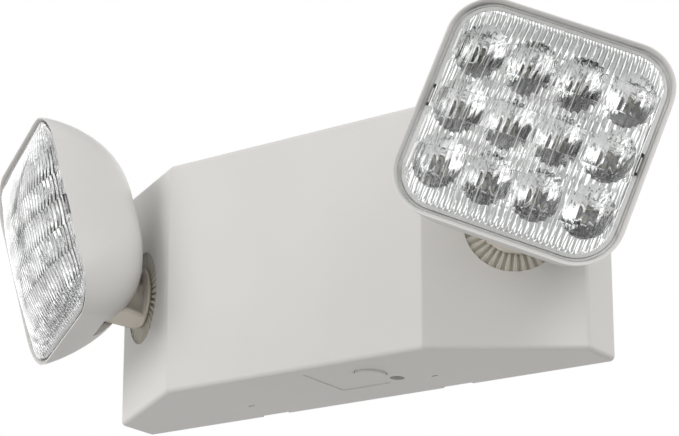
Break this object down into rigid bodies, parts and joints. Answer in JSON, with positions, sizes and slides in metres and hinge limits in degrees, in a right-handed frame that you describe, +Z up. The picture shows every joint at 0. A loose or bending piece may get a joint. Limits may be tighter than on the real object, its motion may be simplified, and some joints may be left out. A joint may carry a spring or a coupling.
{
  "type": "emergency exit light",
  "caption": "Wall-mounted emergency light: hipped white housing with a square lamp head on each slanted side, each swivelling on a toothed ring and tilting on a pin, and a test button below.",
  "frame": {"origin": "middle of the flat wall face of the back plate and housing rim", "axes": "+Z up, +Y into the wall, +X along the wall to the right as seen from the room"},
  "size_m": [0.3809, 0.1072, 0.1457],
  "materials": {
    "housing_plastic": "fine moulded texture, warm white",
    "plate_plastic": "plain moulded, warm white",
    "arm_plastic": "satin moulded, cream",
    "clear_lens": "clear acrylic with fine flutes",
    "bright_reflector": "vacuum metallised, mirror bright",
    "light_board": "white solder mask",
    "light_chip": "yellow phosphor in a clear body",
    "green_board": "green solder mask",
    "steel": "zinc plated",
    "core_steel": "varnished laminations",
    "cell_wrap": "shrink sleeve",
    "black_plastic": "moulded, black",
    "can_sleeve": "sleeved can",
    "terminal_plastic": "moulded, green",
    "sink_aluminium": "extruded",
    "lamp_red": "tinted clear"
  },
  "bodies": {
    "housing": {"front_housing": "housing_plastic", "back_plate": "plate_plastic", "battery_pack": "cell_wrap", "battery_straps": "steel", "strap_screws": "steel", "charger_board": "green_board", "board_screws": "steel", "transformer": "core_steel", "relay": "black_plastic", "capacitors": "can_sleeve", "terminal_block": "terminal_plastic", "heat_sink": "sink_aluminium", "test_board": "green_board", "test_board_screws": "steel", "test_switch": "black_plastic", "indicator_lamp": "lamp_red"},
    "test_button": {"test_button": "housing_plastic"},
    "left_arm": {"left_arm": "arm_plastic", "left_swivel_washer": "steel", "left_swivel_collar": "arm_plastic", "left_collar_screws": "steel"},
    "left_head": {"left_tilt_pin": "steel", "left_lamp_shell": "housing_plastic", "left_reflector": "bright_reflector", "left_led_board": "light_board", "left_light_chips": "light_chip", "left_lens": "clear_lens"},
    "right_arm": {"right_arm": "arm_plastic", "right_swivel_washer": "steel", "right_swivel_collar": "arm_plastic", "right_collar_screws": "steel"},
    "right_head": {"right_tilt_pin": "steel", "right_lamp_shell": "housing_plastic", "right_reflector": "bright_reflector", "right_led_board": "light_board", "right_light_chips": "light_chip", "right_lens": "clear_lens"}
  },
  "joints": [
    {"name": "button_press", "type": "slide", "parent": "housing", "child": "test_button", "axis": [0, 0.0599, 0.9982], "range_m": [0, 0.0008], "stiffness_N_per_m": 2500, "springref_m": -0.0002},
    {"name": "left_swivel", "type": "hinge", "parent": "housing", "child": "left_arm", "pos_m": [-0.10872, -0.0361, 0], "axis": [-0.5104, -0.86, 0], "range_deg": [-158.7, 141.3]},
    {"name": "left_tilt", "type": "hinge", "parent": "left_arm", "child": "left_head", "pos_m": [-0.12045, -0.05704, -0.00395], "axis": [0.8501, -0.5045, 0.1513], "range_deg": [-12.3, 47.7]},
    {"name": "right_swivel", "type": "hinge", "parent": "housing", "child": "right_arm", "pos_m": [0.10872, -0.0361, 0], "axis": [0.5104, -0.86, 0], "range_deg": [-128.2, 171.8]},
    {"name": "right_tilt", "type": "hinge", "parent": "right_arm", "child": "right_head", "pos_m": [0.11969, -0.05749, -0.00371], "axis": [0.7985, 0.4739, -0.3714], "range_deg": [0, 60]}
  ]
}
